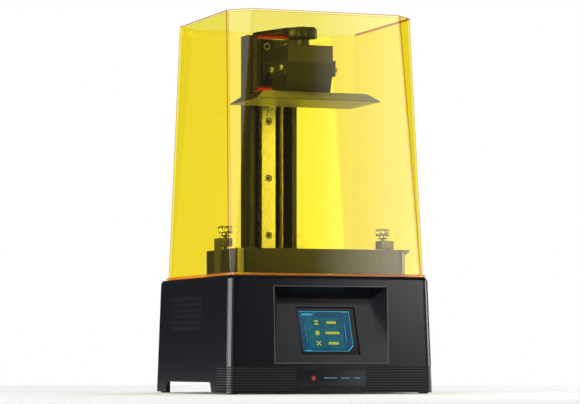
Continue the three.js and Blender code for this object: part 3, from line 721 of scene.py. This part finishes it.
def stroke(start, end, width):
    """Straight line of that width between two points."""
    a, b = Vector(start), Vector(end)
    side = (b - a).normalized().orthogonal() * width / 2
    return [tuple(a - side), tuple(b - side), tuple(b + side), tuple(a + side)]


def hourglass(x, y):
    upper = [(x - 1.7, y + 1.2), (x + 1.7, y + 1.2), (x, y - 0.2)]
    lower = [(x, y), (x + 1.7, y - 1.3), (x - 1.7, y - 1.3)]
    return [rectangle(x, y + 1.8, 4.6, 1.0), rectangle(x, y - 1.8, 4.6, 1.0), upper, lower]


def cross(x, y):
    return [stroke((x - 2.2, y - side), (x + 2.2, y + side), 1.1) for side in (2.2, -2.2)]


DISPLAY = (54.5, 43.0)
SYMBOL_X = -9.6


def make_display():
    """Lit display under the glass: a teal field, thin frame lines and three plain menu rows."""
    w, h = DISPLAY[0] / 2, DISPLAY[1] / 2
    deep = Paint("display_field").glow((0.0, 0.06, 0.12), 1.0, variation=0.3, scale=60)
    bright = Paint("display_panel").glow((0.0, 0.105, 0.15), 1.0, variation=0.5, scale=160)
    cyan = Paint("display_lines").glow((0.04, 0.4, 0.6), 1.0)
    amber = Paint("display_marks").glow((0.4, 0.42, 0.03), 1.0)
    shift = (-1.2, 0.2)

    def layer(name, outlines, paint, lift):
        bm = bmesh.new()
        for outline in outlines:
            plate_shape(bm, outline, 0.06, slope_matrix(lift, shift))
        new_piece(name, bm, paint, "base", 20)

    field = [(-w, -h), (w - 6, -h), (w, -h + 6), (w, h), (-w, h)]
    layer("display_field", [field], deep, 0.03)
    layer("display_panel", [rectangle(-1, -2, 38, 33)], bright, 0.07)
    frame_lines = [
        stroke((-w + 0.5, h - 0.5), (w - 0.5, h - 0.5), 0.5),
        stroke((w - 0.4, h), (w - 0.4, -h + 6), 0.4),
        stroke((w - 0.3, -h + 6.2), (w - 6.2, -h + 0.3), 0.9),
        stroke((-w + 1, -h + 0.4), (w - 6, -h + 0.4), 0.35),
        stroke((-w + 3, h - 3.4), (-w + 14, h - 3.4), 1.3),
        stroke((-w + 14, h - 5), (-w + 18, h - 0.7), 0.4),
        stroke((-w + 0.5, h - 5), (-w + 14, h - 5), 0.4),
        stroke((-w + 3, -h + 0.9), (-w + 10, -h + 0.9), 0.9),
        stroke((w - 8, h - 0.9), (w - 3, h - 0.9), 0.8),
        stroke((20.5, 9), (20.5, -12), 0.4),
        stroke((-21.5, 9), (-21.5, -12), 0.3),
    ]
    layer("display_lines", frame_lines, cyan, 0.11)
    rows = [(9.2, 10), (-1.8, 15), (-12.8, 11)]
    marks = [rectangle(6.5, y, width, 2.6) for y, width in rows]
    top, middle, bottom = (y for y, _ in rows)
    marks += hourglass(SYMBOL_X, top) + [disc(SYMBOL_X, middle, 2.7, teeth=8)] + cross(SYMBOL_X, bottom)
    layer("display_marks", marks, amber, 0.15)


def make_recess_ridge(paints):
    """Thin raised bead around the mouth of the screen recess, in a lighter grey than the housing that is a
    painted highlight along it.
    """
    half, z_low, z_high, front = 60.4, 31.0, 106.6, 113.5
    width, proud = 0.75, 0.3

    def face_y(z):  # the front face leans back by 4 mm over its height
        return -(front - 4 * (z - 1.2) / 112.8)

    corners = [(-half, z_low), (half, z_low), (half, z_high), (-half, z_high)]
    half_section = [(-0.15, 0.3), (0.0, -proud), (0.25, -proud - 0.08)]
    section = half_section + [(width - out, rise) for out, rise in reversed(half_section)]
    bm = bmesh.new()
    loops = []
    for x, z in corners:
        sx, sz = math.copysign(1, x), 1 if z == z_high else -1
        loops.append([bm.verts.new((x + sx * out, face_y(z) + rise, z + sz * out)) for out, rise in section])
    for a, b in zip(loops, loops[1:] + loops[:1]):
        for i in range(len(section)):
            j = (i + 1) % len(section)
            bm.faces.new((a[i], a[j], b[j], b[i]))
    new_piece("recess_ridge", bm, paints["ridge"], "base", 50)


def make_label_marks():
    """Plain coloured dashes in place of lettering on the front plate."""
    low, high = box_mm("front_label_plate")
    middle = (low.z + high.z) / 2
    blue = Paint("label_dashes").finish((0.07, 0.2, 0.33), 0.35, mottle=0.1, scale=300)
    red = Paint("label_dot").finish((0.4, 0.02, 0.02), 0.35, mottle=0.1, scale=300)
    upright = Matrix(((1, 0, 0, 0), (0, 0, 1, low.y - 0.12), (0, 1, 0, middle), (0, 0, 0, 1)))
    bm = bmesh.new()
    for x, width in ((-2, 14), (14, 10), (26.5, 7)):
        plate_shape(bm, rectangle(x, 0, width, 1.0), 0.14, upright)
    new_piece("label_dashes", bm, blue, "base", 20)
    bm = bmesh.new()
    plate_shape(bm, disc(-20, 0, 2.2, sides=28), 0.14, upright)
    new_piece("label_dot", bm, red, "base", 20)


# ---------------------------------------------------------------- Z axis details


def make_lead_screw(paints):
    """Two-start trapezoidal thread cut along the whole screw, with a lead of 4 mm."""
    low, high = box_mm("lead_screw")
    x, y = (low.x + high.x) / 2, (low.y + high.y) / 2
    crest, root, pitch, sides, steps = (high.x - low.x) / 2, 3.15, 2.0, 20, 8
    rows = int((high.z - low.z) / pitch * steps)
    rings = []
    for row in range(rows + 1):
        z = low.z + (high.z - low.z) * row / rows
        fade = min(1.0, (z - low.z) / 3, (high.z - z) / 3)
        ring = []
        for i in range(sides):
            angle = 2 * math.pi * i / sides
            phase = ((z - low.z) / pitch - 2 * i / sides) % 1.0
            tooth = min(1.0, max(0.0, 2.4 - abs(phase - 0.5) * 8))
            r = root + (crest - root) * tooth * fade
            ring.append((x + r * math.cos(angle), y + r * math.sin(angle), z))
        rings.append(ring)
    bm = bmesh.new()
    add_ring_stack(bm, rings)
    screw = new_piece("threaded_screw", bm, paints["rolled_steel"], "screw", 50)
    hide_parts("lead_screw")


def make_screws(name, places, axis, out, radius, height, paints, body):
    bm = bmesh.new()
    for centre in places:
        socket_screw(bm, centre, axis, radius, height, out)
    # The sockets take gloss black: painted shade inside the deep hex sockets.
    return new_piece(name, bm, [paints["plated"], paints["gloss_black"]], body, 30)


def make_rail_screws(paints):
    """Plated cap screws sunk in the rail, each inside a black ring that paints the shadow in the gap round
    its head.
    """
    rail_low, rail_high = box_mm("linear_rail")
    x = (rail_low.x + rail_high.x) / 2
    places = [(x, rail_low.y + 5.9, 164.6 + 60 * i) for i in range(4)]
    make_screws("rail_screws", places, "Y", -1, 2.7, 5.2, paints, "base")
    bm = bmesh.new()
    # Painted shadow: a black ring standing in for the shade between each head and its bore.
    edge = [(2.75, 1.2), (2.75, 0.1), (3.0, -0.12), (3.5, -0.12), (3.7, 0.1), (3.7, 1.2)]
    for _, _, z in places:
        rings = [[(x + r * math.cos(a), rail_low.y + y, z + r * math.sin(a))
                  for a in (2 * math.pi * i / 32 for i in range(32))] for r, y in edge]
        close_stack(bm, add_ring_stack(bm, rings, closed=False))
    new_piece("rail_screw_shadow_rings", bm, paints["black_plastic"], "base", 40)


def make_arm_screws(paints):
    block_low, _ = box_mm("carriage_block")
    floor_y = block_low.y - 5.4
    places = [(x, floor_y, z) for x in (-18, 4) for z in (328, 361)]
    make_screws("arm_screws", places, "Y", -1, 3.9, 4.0, paints, "carriage")


def make_lock_screws(paints):
    """Socket screws on both flanks of the platform head."""
    for side, out in (("left", -1), ("right", 1)):
        for end in ("front", "rear"):
            node = f"lock_screw_{end}_{side}"
            low, high = box_mm(node)
            start = high.x if out < 0 else low.x
            centre = (start, (low.y + high.y) / 2, (low.z + high.z) / 2)
            size = (high.z - low.z) / 2, high.x - low.x
            screw = make_screws(f"head_{node}", [centre], "X", out, *size, paints, "platform")
            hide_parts(node)


def make_vat_details(paints):
    """Flared pouring lip at the front right corner, and in front a fine lighter strip that is a painted
    highlight line.
    """
    low, high = box_mm("resin_vat")
    corner = (high.x - 5.4, low.y + 10.5, 0)
    top = high.z
    lip = [
        (0.01, top - 4.5), (5.5, top - 4.2), (7.8, top - 3.2), (9.5, top - 1.6), (9.9, top - 0.8),
        (9.9, top + 0.1), (9.4, top + 0.35), (8.7, top + 0.1), (5.5, top - 0.6), (0.01, top - 0.8),
    ]
    bm = bmesh.new()
    turn(bm, lip, corner, sides=48)
    new_piece("vat_pouring_lip", bm, paints["clamp_metal"], "vat", 40)
    bm = bmesh.new()
    # Painted highlight: a thin strip lighter than the vat, standing in for a lit line on its front.
    add_box(bm, (64.35, low.y - 0.12, low.z + 1), (64.85, low.y + 0.2, top - 0.6), rounding=0.08)
    new_piece("vat_highlight_line", bm, paints["clamp_metal"], "vat")


def lobes(count, depth):
    return lambda angle, radius: 1 - depth * (0.5 - 0.5 * math.cos(count * angle)) ** 1.5


def make_knob(paints):
    """Six-lobed moulded knob with a dished top and a round hub."""
    low, high = box_mm("clamp_knob")
    x, y = (low.x + high.x) / 2, (low.y + high.y) / 2
    radius = 15.4
    grip = high.z - 11.0
    bm = bmesh.new()
    profile = [
        (4.0, grip), (radius - 1.2, grip), (radius, grip + 1.2), (radius, high.z - 1.4),
        (radius - 0.5, high.z - 0.5), (radius - 1.5, high.z), (9.5, high.z), (8.8, high.z - 0.8),
        (0.01, high.z - 1.0),
    ]
    wave = lobes(6, 0.19)
    turn(bm, profile, (x, y, 0), sides=96, wobble=lambda angle, r: wave(angle, r) if r > 9.6 else 1)
    hub = [(4.0, low.z), (6.6, low.z), (7.0, low.z + 0.4), (7.0, grip - 1.5), (8.4, grip), (4.0, grip + 0.05)]
    turn(bm, hub, (x, y, 0), sides=40)
    knob = new_piece("lobed_knob", bm, paints["black_plastic"], "clamp_knob", 40)
    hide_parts("clamp_knob")


STEM = {"length": 13.2, "step": 0.175, "root": 1.75, "tooth": 0.3, "pitch": 0.7, "sides": 16}


def stem_ring(centre, z):
    """Cross-section of the threaded stem at one height."""
    ring = []
    for i in range(STEM["sides"]):
        phase = (z / STEM["pitch"] - i / STEM["sides"]) % 1
        radius = STEM["root"] + STEM["tooth"] * min(1, max(0, 1.9 - abs(phase - 0.5) * 5.5))
        angle = 2 * math.pi * i / STEM["sides"]
        ring.append((centre[0] + radius * math.cos(angle), centre[1] + radius * math.sin(angle), z))
    return ring


def make_thumbscrews(paints):
    """Knurled heads on a waisted neck, with the threaded stem below."""
    for side in ("left", "right"):
        low, high = box_mm(f"vat_thumbscrew_{side}")
        centre = ((low.x + high.x) / 2, (low.y + high.y) / 2, 0)
        radius = (high.x - low.x) / 2 - 0.02
        top = high.z
        bm = bmesh.new()
        flutes = lobes(18, 0.09)
        head = [(4.5, top - 7.3), (radius - 0.6, top - 7.3), (radius, top - 6.7), (radius, top - 0.8),
                (radius - 0.7, top - 0.1), (5.0, top), (4.4, top - 0.5), (0.01, top - 0.6)]
        turn(bm, head, centre, sides=108, wobble=lambda angle, r: flutes(angle, r) if r > 6 else 1)
        neck = [
            (0.01, low.z + 13.1), (5.2, low.z + 13.1), (5.4, low.z + 13.4), (5.2, low.z + 13.9),
            (3.4, low.z + 14.2), (3.1, low.z + 15.0), (3.3, top - 7.4), (0.01, top - 7.35),
        ]
        turn(bm, neck, centre, sides=40)
        rows = int(STEM["length"] / STEM["step"])
        heights = [low.z + STEM["length"] * row / rows for row in range(rows + 1)]
        add_ring_stack(bm, [stem_ring(centre, z) for z in heights])
        body = f"thumbscrew_{side}"
        screw = new_piece(f"knurled_screw_{side}", bm, paints["bright_steel"], body, 40)
        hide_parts(f"vat_thumbscrew_{side}")


# ---------------------------------------------------------------- build the scene

paints = make_paints()
dress_nodes(paints)
make_cover(paints)
make_cover_rim(paints)
make_display()
make_recess_ridge(paints)
make_label_marks()
make_lead_screw(paints)
make_rail_screws(paints)
make_arm_screws(paints)
make_knob(paints)
make_thumbscrews(paints)
make_lock_screws(paints)
make_vat_details(paints)

set_tones()
make_camera()
make_lights()
make_world()
make_floor()
